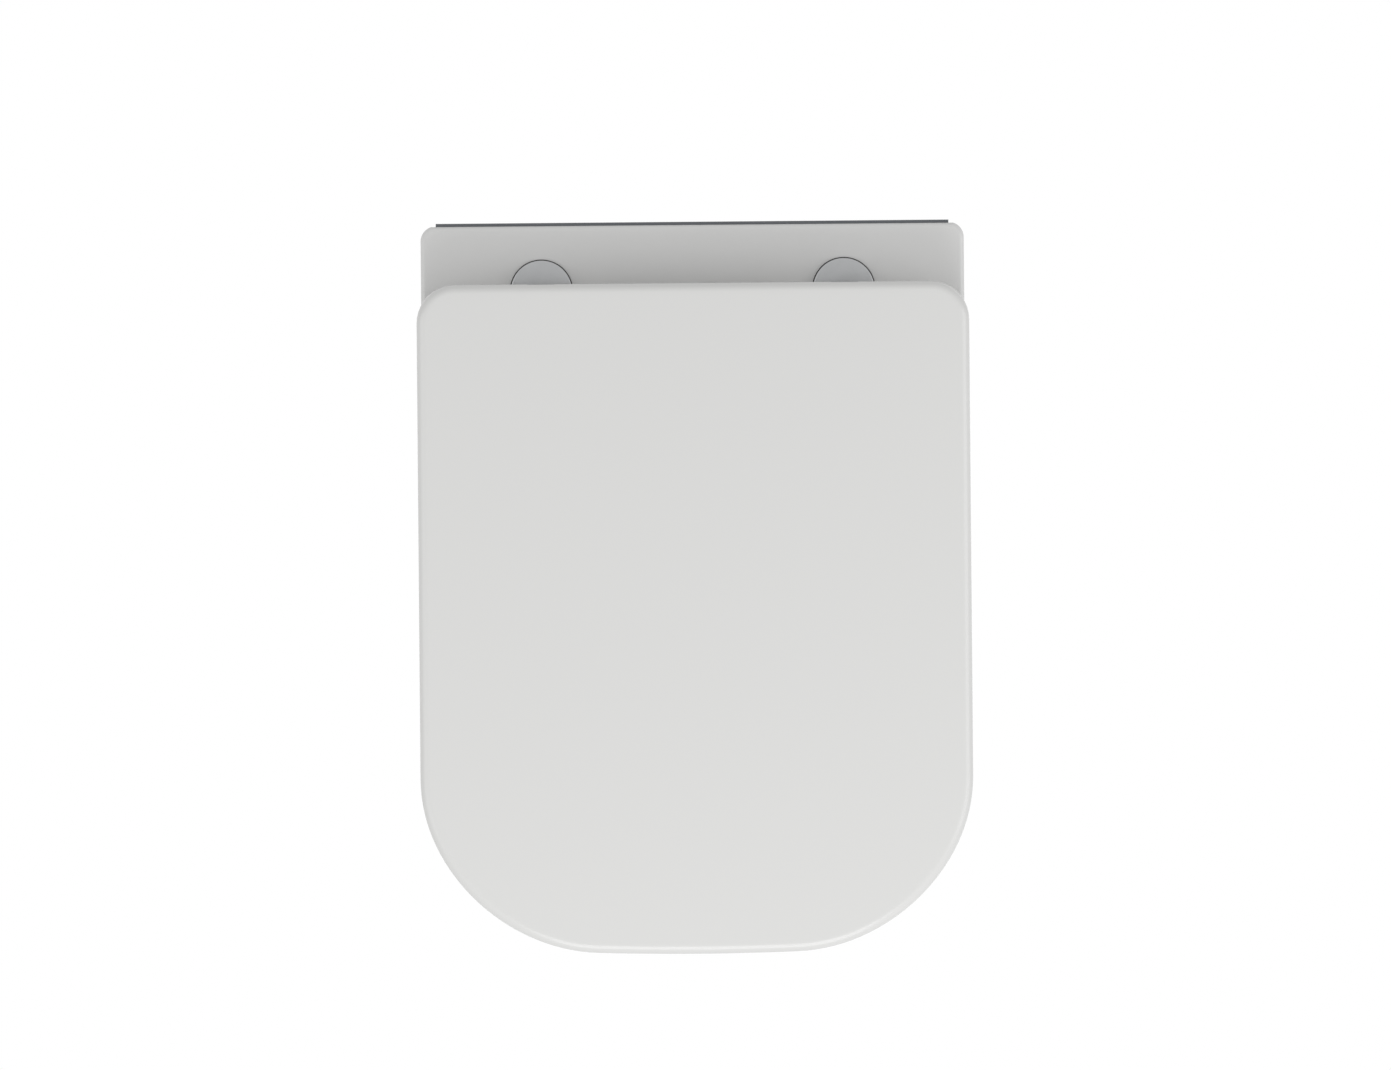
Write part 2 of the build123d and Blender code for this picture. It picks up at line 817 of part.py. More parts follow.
def screws(arm_span, arm_length, head_z, tip_z):
    """Pan head screws pointing up, two through each hinge arm."""
    made = []
    for name in sides:
        for x, y in screw_places(name, arm_span, arm_length):
            screw = rod_z(screw_radius, head_z, tip_z, x, y)
            screw += rod_z(screw_head_radius, head_z - screw_head, head_z, x, y)
            made.append(one(screw))
    return Compound(children=made)


def make_seat_block_screws():
    return screws(seat_arm_span, seat_arm_length, seat_arm_bottom_z, seat_top_z - screw_skin)


# Lid
def lid_outline(inset):
    """The lid's outer edge, taken in by inset."""
    return d_face(
        lid_width / 2 - inset,
        projection - inset,
        rear_ledge + inset,
        lid_corner_radius - inset,
        lid_bow_radius - inset,
        lid_rear_corner_radius - inset,
    )


def make_lid():
    """The lid: a shallow moulded tray, open underneath, notched for the brackets."""
    height = lid_top_z - lid_bottom_z
    at = Pos(0, 0, lid_bottom_z)
    lid = extrude(at * lid_outline(0), amount=height)
    lid = fillet(lid.faces().sort_by(Axis.Z)[-1].edges(), lid_edge_radius)
    lid = fillet(lid.faces().sort_by(Axis.Z)[0].edges(), lid_bottom_radius)
    hollow = extrude(at * lid_outline(lid_wall), amount=height - lid_skin)
    for name in sides:
        x0, x1 = lid_arm_span(name)
        hollow -= block(
            x0,
            x1,
            -rear_ledge,
            axis_y - lid_arm_length,
            lid_arm_top_z,
            lid_top_z,
        )
    for x, y in pad_places():
        hollow -= rod_z(pad_boss_radius, lid_bottom_z, lid_top_z, x, y)
    lid -= hollow
    for name, side in sides.items():
        lid -= block(
            side * (bracket_inner_x - knuckle_side_gap),
            side * (bracket_outer_x + 2 * knuckle_side_gap),
            -rear_ledge + 1,
            -rear_ledge - lid_wall - 1,
            lid_bottom_z - 1,
            lid_top_z - lid_skin,
        )
        for x, y in screw_places(name, lid_arm_span, lid_arm_length):
            lid -= rod_z(screw_radius + press_gap, lid_arm_top_z - 1, lid_top_z - screw_skin, x, y)
    for x, y in pad_places():
        lid -= rod_z(
            foot_peg_radius + press_gap, lid_bottom_z - 1, lid_bottom_z + pad_peg_length, x, y
        )
    return one(lid)


def make_lid_buffers():
    """Four small pads that rest the lid on the seat."""
    pads = []
    for x, y in pad_places():
        pad = rod_z(pad_radius, seat_top_z, lid_bottom_z, x, y)
        pad += rod_z(foot_peg_radius, lid_bottom_z, lid_bottom_z + pad_peg_length, x, y)
        pads.append(one(pad))
    return Compound(children=pads)


def make_lid_block(name):
    """A hinge knuckle with the plate that is screwed under the lid."""
    near, far = knuckle_span(name, False)
    x0, x1 = lid_arm_span(name)
    body = rod_x(knuckle_radius, near, far)
    body += block(
        x0, x1, axis_y, axis_y - lid_arm_length, lid_arm_bottom_z, lid_arm_top_z
    )
    body -= knuckle_bore(name, False)
    for x, y in screw_places(name, lid_arm_span, lid_arm_length):
        body -= rod_z(screw_radius + 2 * press_gap, lid_arm_bottom_z - 1, lid_arm_top_z + 1, x, y)
    return one(body)


def make_lid_block_screws():
    return screws(lid_arm_span, lid_arm_length, lid_arm_bottom_z, lid_top_z - screw_skin)


# All parts, each under its own name
def all_parts():
    parts = {
        "pan": make_pan(),
        "wall_mat": make_wall_mat(),
        "stud_sleeves": on_studs(stud_sleeve),
        "stud_washers": on_studs(stud_washer),
        "stud_nuts": on_studs(stud_nut),
        "stud_caps": on_studs(stud_cap),
        "flush_inlet_seal": make_flush_inlet_seal(),
        "hinge_gaskets": on_hinges(hinge_gasket),
        "hinge_bolts": on_hinges(hinge_bolt),
        "hinge_bushes": on_hinges(hinge_bush),
        "hinge_clamp_nuts": on_hinges(hinge_clamp_nut),
        "seat_ring": make_seat_ring(),
        "seat_buffers": make_seat_buffers(),
        "seat_block_screws": make_seat_block_screws(),
        "seat_pin": make_pin("right", True),
        "seat_pin_bush": make_pin_bush("right", True),
        "seat_damper_housing": make_damper_housing("left", True),
        "seat_damper_rotor": make_damper_rotor("left", True),
        "lid": make_lid(),
        "lid_buffers": make_lid_buffers(),
        "lid_block_screws": make_lid_block_screws(),
        "lid_pin": make_pin("left", False),
        "lid_pin_bush": make_pin_bush("left", False),
        "lid_damper_housing": make_damper_housing("right", False),
        "lid_damper_rotor": make_damper_rotor("right", False),
    }
    for name in sides:
        parts[f"hinge_bracket_{name}"] = make_hinge_bracket(name)
        parts[f"hinge_disc_{name}"] = make_hinge_disc(name)
        parts[f"seat_block_{name}"] = make_seat_block(name)
        parts[f"lid_block_{name}"] = make_lid_block(name)
    return parts


os.makedirs("parts", exist_ok=True)
for part_name, part in all_parts().items():
    export_step(part, f"parts/{part_name}.step")
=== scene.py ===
from math import cos, pi, radians, sin

import bmesh
import bpy
from bpy.props import FloatProperty, FloatVectorProperty, IntProperty, PointerProperty
from bpy.types import Operator, Panel, PropertyGroup
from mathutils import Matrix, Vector


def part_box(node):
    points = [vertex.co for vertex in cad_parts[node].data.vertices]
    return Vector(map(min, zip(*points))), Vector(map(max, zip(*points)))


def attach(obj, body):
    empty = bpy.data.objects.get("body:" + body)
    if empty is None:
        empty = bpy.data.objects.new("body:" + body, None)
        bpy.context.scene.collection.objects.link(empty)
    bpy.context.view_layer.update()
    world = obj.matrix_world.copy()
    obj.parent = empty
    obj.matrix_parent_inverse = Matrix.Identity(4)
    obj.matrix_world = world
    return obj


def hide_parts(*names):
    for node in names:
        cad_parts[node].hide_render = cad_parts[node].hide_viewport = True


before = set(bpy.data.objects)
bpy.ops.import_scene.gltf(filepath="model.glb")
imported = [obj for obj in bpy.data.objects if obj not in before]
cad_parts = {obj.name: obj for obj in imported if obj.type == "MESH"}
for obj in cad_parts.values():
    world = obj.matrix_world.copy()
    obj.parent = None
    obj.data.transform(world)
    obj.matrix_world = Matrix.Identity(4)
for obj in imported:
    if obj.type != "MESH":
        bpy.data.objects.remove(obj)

bl_info = {
    "name": "Wall Hung Toilet",
    "version": (1, 0, 0),
    "blender": (4, 5, 0),
    "location": "3D View > Sidebar > Toilet",
    "description": "Models the seat, lid and fixings of a wall hung toilet",
    "category": "Add Mesh",
}

# Places taken from the construction model
LID_LOW, LID_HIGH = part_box("lid")
SEAT_LOW, SEAT_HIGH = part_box("seat_ring")
SIDES = {"left": -1, "right": 1}
FEET_LINE = -0.31  # Y between the rear and the front feet

# How finely curves are drawn
FRONT_CORNER_STEPS = 30
REAR_CORNER_STEPS = 10
STRAIGHT_CUTS = 11
EDGE_STEPS = 8
LID_EDGE_STEPS = 10
LOWER_EDGE_STEPS = 3
DISC_EDGE_STEPS = 5
SMALL_EDGE_STEPS = 4
ROD_STEPS = 48
SCREW_STEPS = 32
CROWN_RINGS = (0.99, 0.93, 0.84, 0.72, 0.58, 0.42, 0.25, 0.08)
SMOOTH_ANGLE = radians(30)
TINY = 1e-5
MERGE_DISTANCE = 1e-6

# Clearances and small sizes that follow the construction model
OVERCUT = 0.001  # how far a cutting block reaches past a face
LID_BOSS_RADIUS = 0.008  # solid round the pads of the lid
SEAT_BOSS_RADIUS = 0.013  # solid round the feet of the seat
NOTCH_IN, NOTCH_OUT, NOTCH_DEPTH = 0.0005, 0.001, 0.005  # lid round a bracket
CHEEK_IN, CHEEK_OUT = 0.0172, 0.001  # solid of the seat beside a knuckle
SLOT_IN, SLOT_OUT, SLOT_FRONT = 0.002, 0.0005, 0.0015  # seat round a bracket
ARM_WALL, ARM_FRONT, ARM_COVER = 0.0028, 0.0002, 0.0065  # seat round a knuckle
SEAT_TOP_INSET = 0.001
DISC_SKIN = 0.0008
DISC_TOP_INSET = 0.0006
DISC_SLOT_GAP = 0.0001
DISC_SLOT_REACH = 0.03
HEAD_HEIGHT = 0.0024
HEAD_EDGE = 0.0012
CROSS_REACH = 0.0026
CROSS_DEPTH = 0.0013
TIP_RINGS = (0.7, 0.3)
FOOT_RIM_SHARE = 0.3
FOOT_DENT = 0.0003
FOOT_STEM_RADIUS = 0.003

# Camera and lights
FILM_WIDTH = 36
VIEW_END = 100
LIGHT_AIM = Vector((0, -0.25, 0.1))
LIGHTS = {  # the setting of its power, its size and its place
    "front_light": ("front_power", 1.4, (0.1, -1.8, 1.5)),
    "right_light": ("right_power", 1.6, (1.8, -0.3, 1.3)),
    "left_light": ("left_power", 1.6, (-1.8, -0.3, 1.3)),
}

# Node groups
GROUP_OUTPUTS = {
    "Color": "NodeSocketColor",
    "Roughness": "NodeSocketFloat",
    "Height": "NodeSocketFloat",
}
TEXTURE_RANGE = (0.3, 0.7)  # where most values of a texture lie
COAT_ROUGHNESS = 0.03


# Sizes and colours that a user would change
def length(name, description, default):
    """A length setting in metres, shown in the scene's units."""
    return FloatProperty(
        name=name, description=description, default=default, min=0, unit="LENGTH"
    )


def place(name, description, default):
    """A place along one axis, on either side of the origin."""
    return FloatProperty(name=name, description=description, default=default, unit="LENGTH")


def power(name, description, default):
    """The power of a light."""
    return FloatProperty(name=name, description=description, default=default, unit="POWER")


def shade(name, description, default):
    """A colour setting."""
    return FloatVectorProperty(
        name=name, description=description, default=default, size=3, min=0, max=1, subtype="COLOR"
    )


class LidShape(PropertyGroup):
    """The moulded lid."""

    corner_radius: length("Front corners", "Radius of the two large front corners", 0.115)
    bow_radius: length("Front bow", "Radius of the gentle curve along the front edge", 1.88)
    rear_corner_radius: length("Rear corners", "Radius of the two corners by the hinges", 0.025)
    edge_radius: length("Top edge", "Rounding of the upper edge", 0.006)
    lower_edge_radius: length("Lower edge", "Rounding of the rim underneath", 0.001)
    crown: length("Crown", "Height of the slight dome of the top", 0.0008)
    wall: length("Rim wall", "Thickness of the rim", 0.004)
    skin: length("Skin", "Thickness of the top", 0.005)


class SeatShape(PropertyGroup):
    """The moulded seat."""

    corner_radius: length("Front corners", "Radius of the outer front corners", 0.1135)
    bow_radius: length("Front bow", "Radius of the curve along the front edge", 1.8785)
    rear_corner_radius: length("Rear corners", "Radius of the outer rear corners", 0.012)
    opening_width: length("Opening width", "Width of the opening", 0.216)
    opening_front: length("Opening front", "Front of the opening from the wall", 0.414)
    opening_rear: length("Opening rear", "Rear of the opening from the wall", 0.165)
    opening_corner: length("Opening corners", "Radius of the opening's front corners", 0.092)
    opening_bow: length("Opening bow", "Radius of the opening's front curve", 0.33)
    opening_rear_corner: length("Opening rear corners", "Radius of its rear corners", 0.062)
    outer_edge: length("Outer edge", "Rounding of the outer upper edge", 0.007)
    inner_edge: length("Inner edge", "Rounding of the edge round the opening", 0.008)
    wall: length("Rim wall", "Thickness of the rims underneath", 0.006)
    skin: length("Skin", "Thickness of the top", 0.005)


class FixingShape(PropertyGroup):
    """The cover discs, screws and rubber feet."""

    disc_wall: length("Disc wall", "Thickness of the cover disc's rim", 0.001)
    disc_edge: length("Disc edge", "Rounding of the cover disc's upper edge", 0.0007)
    disc_steps: IntProperty(
        name="Disc steps", description="Straight edges round a cover disc", default=96, min=12
    )
    screw_slot: length("Cross width", "Width of the cross recess in a screw", 0.0011)
    foot_edge: length("Foot edge", "Rounding of the rubber feet", 0.0012)


class Finishes(PropertyGroup):
    """The colours of the finishes."""

    glaze: shade("Glaze", "Glazed ceramic of the pan", (0.793, 0.80, 0.809))
    moulding: shade("Moulding", "Moulded seat and lid", (0.797, 0.80, 0.811))
    disc_metal: shade("Disc metal", "Satin plated cover discs", (0.418, 0.424, 0.430))
    bracket_metal: shade("Bracket metal", "Plated hinge brackets", (0.52, 0.53, 0.55))
    zinc: shade("Zinc", "Zinc plated steel of screws, nuts and pins", (0.50, 0.51, 0.52))
    white_plastic: shade("White plastic", "Hinge knuckles, sleeves and caps", (0.76, 0.76, 0.75))
    grey_plastic: shade("Grey plastic", "Dampers, bushes and clamp nuts", (0.21, 0.22, 0.23))
    black_rubber: shade("Black rubber", "Gaskets, seal and bushes", (0.028, 0.028, 0.03))
    white_rubber: shade("White rubber", "Feet of the seat and the lid", (0.62, 0.62, 0.60))
    # The mat's dark grey is partly the foam's own colour and partly painted shade for the dark
    # line along the pan's back edge
    foam_and_painted_shade: shade("Foam", "Thin mat behind the pan", (0.24, 0.245, 0.25))


class StageSettings(PropertyGroup):
    """Camera and light."""

    camera_height: length("Camera height", "Height of the camera above the lid", 14.0)
    picture_width: length("Picture width", "Width that the picture shows at the lid", 0.9055)
    camera_x: place("Camera X", "Place of the camera along the wall", 0.0005)
    camera_y: place("Camera Y", "Place of the camera from the wall", -0.2047)
    camera_roll: FloatProperty(
        name="Camera roll",
        description="Turn of the camera",
        default=radians(-0.5),
        subtype="ANGLE",
    )
    front_power: power("Front light", "Power of the soft light in front", 14.2)
    right_power: power("Right light", "Power of the soft light on the right", 9.9)
    left_power: power("Left light", "Power of the soft light on the left", 6.3)
    room_light: FloatProperty(
        name="Room light", description="Even light from all sides", default=0.51, min=0
    )


# Selecting and shaping, as by hand
def only(obj):
    """Leaves obj as the one selected and active object."""
    bpy.ops.object.select_all(action="DESELECT")
    obj.select_set(True)
    bpy.context.view_layer.objects.active = obj


def call_it(obj, name):
    """Names an object and its mesh."""
    obj.name = name
    obj.data.name = name


def begin(name):
    """Names the new primitive, puts its place into its mesh and opens it for editing."""
    obj = bpy.context.object
    call_it(obj, name)
    bpy.ops.object.transform_apply(location=True, rotation=True, scale=True)
    bpy.ops.object.mode_set(mode="EDIT")
    return obj


def end():
    """Goes back to object mode."""
    bpy.ops.object.mode_set(mode="OBJECT")


def pick(kind, test):
    """Selects what passes the test: vertices and edges by their places, faces by themselves."""
    bpy.ops.mesh.select_mode(type=kind)
    bpy.ops.mesh.select_all(action="DESELECT")
    data = bpy.context.object.data
    mesh = bmesh.from_edit_mesh(data)
    if kind == "VERT":
        found = [v for v in mesh.verts if test(v.co)]
    elif kind == "EDGE":
        found = [e for e in mesh.edges if all(test(v.co) for v in e.verts)]
    else:
        found = [f for f in mesh.faces if test(f)]
    if not found:
        raise RuntimeError(f"nothing to select on {bpy.context.object.name}")
    for part in found:
        part.select_set(True)
    mesh.select_flush_mode()
    bmesh.update_edit_mesh(data)


def pick_top(facing=1):
    """Selects the highest face that looks up, or the lowest that looks down for facing -1."""
    mesh = bmesh.from_edit_mesh(bpy.context.object.data)
    level = max(facing * f.calc_center_median().z for f in mesh.faces if facing * f.normal.z > 0.9)
    pick(
        "FACE",
        lambda f: facing * f.normal.z > 0.9
        and abs(facing * f.calc_center_median().z - level) < TINY,
    )


def raise_by(height):
    """Extrudes the selected faces along Z."""
    bpy.ops.mesh.extrude_region_move(TRANSFORM_OT_translate={"value": (0, 0, height)})


def up(height):
    """A step along Z."""
    return Vector((0, 0, height))


def add_box(name, low, high):
    """A box between two corners."""
    bpy.ops.object.select_all(action="DESELECT")
    low, high = Vector(map(min, low, high)), Vector(map(max, low, high))
    middle = (low + high) / 2
    bpy.ops.mesh.primitive_cube_add(size=1, location=middle)
    obj = begin(name)
    bpy.ops.transform.resize(value=high - low, center_override=middle)
    end()
    return obj


def add_rod(name, radius, low, high, steps=ROD_STEPS):
    """An upright round bar between two points, left open for editing."""
    bpy.ops.object.select_all(action="DESELECT")
    low, high = Vector(low), Vector(high)
    bpy.ops.mesh.primitive_cylinder_add(
        vertices=steps, radius=radius, depth=(high - low).length, location=(low + high) / 2
    )
    return begin(name)


def join(name, objects):
    """Makes one object of several."""
    only(objects[0])
    for obj in objects[1:]:
        obj.select_set(True)
    bpy.ops.object.join()
    obj = bpy.context.object
    call_it(obj, name)
    return obj


def combine(obj, tool, operation="DIFFERENCE"):
    """Cuts the tool out of obj or adds it to obj, and removes the tool."""
    only(obj)
    step = obj.modifiers.new("Cut", "BOOLEAN")
    step.operation = operation
    step.solver = "EXACT"
    step.object = tool
    bpy.ops.object.modifier_apply(modifier=step.name)
    only(tool)
    bpy.ops.object.delete()
    only(obj)


def bevel_rim(radius, segments):
    """Rounds the edge round the selected faces."""
    bpy.ops.mesh.region_to_loop()
    bpy.ops.mesh.select_mode(type="EDGE")
    bpy.ops.mesh.bevel(offset=radius, segments=segments, affect="EDGES", clamp_overlap=False)


def hand_over(obj, material, body, nodes):
    """Finishes a piece: smooth shading, its material, its body and the nodes it stands for."""
    only(obj)
    bpy.ops.object.shade_smooth_by_angle(angle=SMOOTH_ANGLE)
    obj.data.materials.clear()
    obj.data.materials.append(material)
    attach(obj, body)
    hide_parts(*nodes)


def d_outline(name, half_width, front, rear, corner, bow, rear_corner, z):
    """A flat D: a plane whose corners are rounded and whose front edge is bowed."""
    bpy.ops.object.select_all(action="DESELECT")
    middle = Vector((0, (front + rear) / 2, z))
    bpy.ops.mesh.primitive_plane_add(size=1, location=middle)
    obj = begin(name)
    bpy.ops.transform.resize(value=(2 * half_width, rear - front, 1), center_override=middle)
    pick("VERT", lambda co: co.y > middle.y)
    bpy.ops.mesh.bevel(affect="VERTICES", offset=rear_corner, segments=REAR_CORNER_STEPS)
    pick("VERT", lambda co: co.y < front + TINY)
    bpy.ops.mesh.bevel(affect="VERTICES", offset=corner, segments=FRONT_CORNER_STEPS)
    for straight in (
        lambda co: co.y < front + TINY,
        lambda co: abs(co.x) > half_width - TINY,
        lambda co: co.y > rear - TINY,
    ):
        pick("EDGE", straight)
        bpy.ops.mesh.subdivide(number_cuts=STRAIGHT_CUTS)
    mesh = bmesh.from_edit_mesh(obj.data)
    line = front + corner
    columns = {round(abs(v.co.x), 6): v.co.y for v in mesh.verts if v.co.y < line - TINY}
    for x, y in sorted(columns.items()):
        pick("VERT", lambda co: abs(abs(co.x) - x) < 2 * TINY and co.y < line - TINY / 10)
        drop = x * x / (2 * bow) * (line - y) / corner
        bpy.ops.transform.translate(value=(0, drop, 0))
    return obj


def solid_d(name, half_width, front, rear, corner, bow, rear_corner, low, high):
    """A D-shaped block between two heights, left open for editing."""
    obj = d_outline(name, half_width, front, rear, corner, bow, rear_corner, low)
    bpy.ops.mesh.select_mode(type="FACE")
    bpy.ops.mesh.select_all(action="SELECT")
    raise_by(high - low)
    bpy.ops.mesh.select_mode(type="EDGE")
    bpy.ops.mesh.select_all(action="DESELECT")
    bpy.ops.mesh.select_non_manifold()
    if any(edge.select for edge in bmesh.from_edit_mesh(obj.data).edges):
        bpy.ops.mesh.edge_face_add()
    bpy.ops.mesh.select_all(action="SELECT")
    bpy.ops.mesh.remove_doubles(threshold=MERGE_DISTANCE)
    bpy.ops.mesh.normals_make_consistent(inside=False)
    return obj


def moulding_block(name, shape, corners, inset, floor, roof):
    """The block of the lid or the seat, drawn in by inset and left open for editing."""
    low, high = corners
    return solid_d(
        name,
        high.x - inset,
        low.y + inset,
        high.y - inset,
        shape.corner_radius - inset,
        shape.bow_radius - inset,
        shape.rear_corner_radius - inset,
        floor,
        roof,
    )


# Places of small pieces in the construction model
def midway(values):
    """The middle between the smallest and the largest value."""
    return (min(values) + max(values)) / 2


def foot_places(node):
    """The centres of the four feet of one node, in plan."""
    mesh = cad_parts[node].data
    found = []
    for side in SIDES.values():
        for front in (True, False):
            points = [
                v.co for v in mesh.vertices if v.co.x * side > 0 and (v.co.y < FEET_LINE) == front
            ]
            found.append(Vector((midway([p.x for p in points]), midway([p.y for p in points]), 0)))
    return found


def screw_places(node):
    """The centres of the four screws of one node, in plan."""
    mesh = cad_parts[node].data
    found = []
    for side in SIDES.values():
        points = [v.co for v in mesh.vertices if v.co.x * side > 0]
        x = midway([p.x for p in points])
        radius = max(abs(p.x - x) for p in points)
        found.append(Vector((x, min(p.y for p in points) + radius, 0)))
        found.append(Vector((x, max(p.y for p in points) - radius, 0)))
    return found


def near_and_far(low, high):
    """The distances of a box's two sides from the middle plane."""
    return sorted((abs(low.x), abs(high.x)))


# The lid
def model_lid(shape):
    """The lid's outside: a block with rounded edges and a crowned top."""
    low, high = LID_LOW, LID_HIGH
    level = high.z - shape.crown
    obj = moulding_block("lid_moulding", shape, (low, high), 0, low.z, level)
    pick_top()
    bevel_rim(shape.edge_radius, LID_EDGE_STEPS)
    pick_top()
    centre = Vector((0, (low.y + high.y) / 2, level))
    last = 1.0
    for ring in CROWN_RINGS:
        raise_by(shape.crown * (last**2 - ring**2))
        bpy.ops.transform.resize(value=(ring / last, ring / last, 1), center_override=centre)
        last = ring
    pick_top(-1)
    bevel_rim(shape.lower_edge_radius, LOWER_EDGE_STEPS)
    end()
    return obj


def lid_hollow_tool(shape):
    """What is hollow under the lid: inside the rim, clear of the hinge plates and the pads."""
    low, high = LID_LOW, LID_HIGH
    floor, roof = low.z - shape.skin, high.z - shape.skin
    obj = moulding_block("hollow_tool", shape, (low, high), shape.wall, floor, roof)
    end()
    solids = []
    for name in SIDES:
        plate_low, plate_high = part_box(f"lid_block_{name}")
        near_corner = (plate_low.x, plate_low.y, plate_high.z)
        far_corner = (plate_high.x, high.y + shape.skin, high.z)
        solids.append(add_box(f"lid_plate_{name}", near_corner, far_corner))
    for middle in foot_places("lid_buffers"):
        lower, upper = middle + up(low.z - 2 * shape.skin), middle + up(high.z)
        solids.append(add_rod("lid_boss", LID_BOSS_RADIUS, lower, upper))
        end()
    combine(obj, join("hollow_solids", solids))
    return obj


class TOILET_OT_add_lid(Operator):
    """Model the lid and its underside"""

    bl_idname = "toilet.add_lid"
    bl_label = "Add lid"

    def execute(self, context):
        shape = context.scene.toilet_lid
        low, high = LID_LOW, LID_HIGH
        obj = model_lid(shape)
        combine(obj, lid_hollow_tool(shape))
        notches = []
        for name, side in SIDES.items():
            near, far = near_and_far(*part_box(f"hinge_bracket_{name}"))
            inner = (side * (near - NOTCH_IN), high.y - NOTCH_DEPTH, low.z - OVERCUT)
            outer = (side * (far + NOTCH_OUT), high.y + OVERCUT, high.z - shape.skin)
            notches.append(add_box(f"lid_notch_{name}", inner, outer))
        combine(obj, join("lid_notches", notches))
        hand_over(obj, moulded_white(), "lid", ["lid"])
        return {"FINISHED"}


# The seat
def seat_opening_tool(shape, grow, low, high):
    """A block that fills the opening of the seat, let out by grow and left open for editing."""
    return solid_d(
        "opening_tool",
        shape.opening_width / 2 + grow,
        -shape.opening_front - grow,
        -shape.opening_rear + grow,
        shape.opening_corner + grow,
        shape.opening_bow + grow,
        shape.opening_rear_corner + grow,
        low,
        high,
    )


def flared_opening_tool(shape, low, high):
    """The opening's block, flared at the top so that it leaves a rounded edge."""
    radius = shape.inner_edge
    obj = seat_opening_tool(shape, 0, low, high - radius)
    half = Vector((shape.opening_width / 2, (shape.opening_front - shape.opening_rear) / 2))
    centre = Vector((0, -(shape.opening_front + shape.opening_rear) / 2, high))
    done_out, done_up = 0.0, 0.0
    for step in range(1, EDGE_STEPS + 1):
        angle = pi / 2 * step / EDGE_STEPS
        out, rise = radius * (1 - cos(angle)), radius * sin(angle)
        pick_top()
        raise_by(rise - done_up)
        factors = ((half.x + out) / (half.x + done_out), (half.y + out) / (half.y + done_out), 1)
        bpy.ops.transform.resize(value=factors, center_override=centre)
        done_out, done_up = out, rise
    pick_top()
    raise_by(radius)
    end()
    return obj


def seat_hollow_tool(shape):
    """What is hollow under the seat: between the rims, clear of the cheeks and the feet."""
    low, high = SEAT_LOW, SEAT_HIGH
    floor, roof = low.z - shape.skin, high.z - shape.skin
    below, above = floor - shape.skin, roof + shape.skin
    obj = moulding_block("hollow_tool", shape, (low, high), shape.wall, floor, roof)
    end()
    solids = []
    for name, side in SIDES.items():
        arm_low, arm_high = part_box(f"seat_block_{name}")
        near, far = near_and_far(arm_low, arm_high)
        inner = (side * (near - CHEEK_IN), high.y + shape.skin, below)
        outer = (side * (far + CHEEK_OUT), arm_low.y - shape.skin, above)
        solids.append(add_box(f"cheek_{name}", inner, outer))
    for middle in foot_places("seat_buffers"):
        solids.append(add_rod("boss", SEAT_BOSS_RADIUS, middle + up(below), middle + up(above)))
        end()
    combine(obj, join("hollow_solids", solids))
    opening = seat_opening_tool(shape, shape.wall, below, above)
    end()
    combine(obj, opening)
    return obj


def bracket_slots(shape):
    """What the seat leaves free round the hinge brackets."""
    blocks = []
    for name, side in SIDES.items():
        metal_low, metal_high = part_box(f"hinge_bracket_{name}")
        near, far = near_and_far(metal_low, metal_high)
        rear, front = SEAT_HIGH.y + shape.skin, metal_low.y - SLOT_FRONT
        inner = (side * (near - SLOT_IN), rear, SEAT_LOW.z - shape.skin)
        outer = (side * (far + SLOT_OUT), front, SEAT_HIGH.z + shape.skin)
        blocks.append(add_box(f"bracket_slot_{name}", inner, outer))
    return join("bracket_slots", blocks)


def arm_slots(shape):
    """What the seat leaves free for the arms of its knuckles."""
    blocks = []
    for name, side in SIDES.items():
        arm_low, arm_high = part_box(f"seat_block_{name}")
        near, far = near_and_far(arm_low, arm_high)
        rear, front = SEAT_HIGH.y + shape.skin, arm_low.y - ARM_FRONT
        inner = (side * (near + ARM_WALL), rear, SEAT_LOW.z - shape.skin)
        outer = (side * (far - ARM_WALL), front, SEAT_HIGH.z - ARM_COVER)
        blocks.append(add_box(f"arm_slot_{name}", inner, outer))
    return join("arm_slots", blocks)


class TOILET_OT_add_seat(Operator):
    """Model the seat ring and its underside"""

    bl_idname = "toilet.add_seat"
    bl_label = "Add seat"

    def execute(self, context):
        shape = context.scene.toilet_seat
        low, high = SEAT_LOW, SEAT_HIGH
        obj = moulding_block("seat_moulding", shape, (low, high), 0, low.z, high.z)
        pick_top()
        bevel_rim(shape.outer_edge, EDGE_STEPS)
        pick_top()
        bpy.ops.mesh.inset(thickness=SEAT_TOP_INSET)
        end()
        combine(obj, seat_hollow_tool(shape))
        combine(obj, flared_opening_tool(shape, low.z - shape.skin, high.z))
        combine(obj, bracket_slots(shape))
        combine(obj, arm_slots(shape))
        hand_over(obj, moulded_white(), "seat", ["seat_ring"])
        return {"FINISHED"}


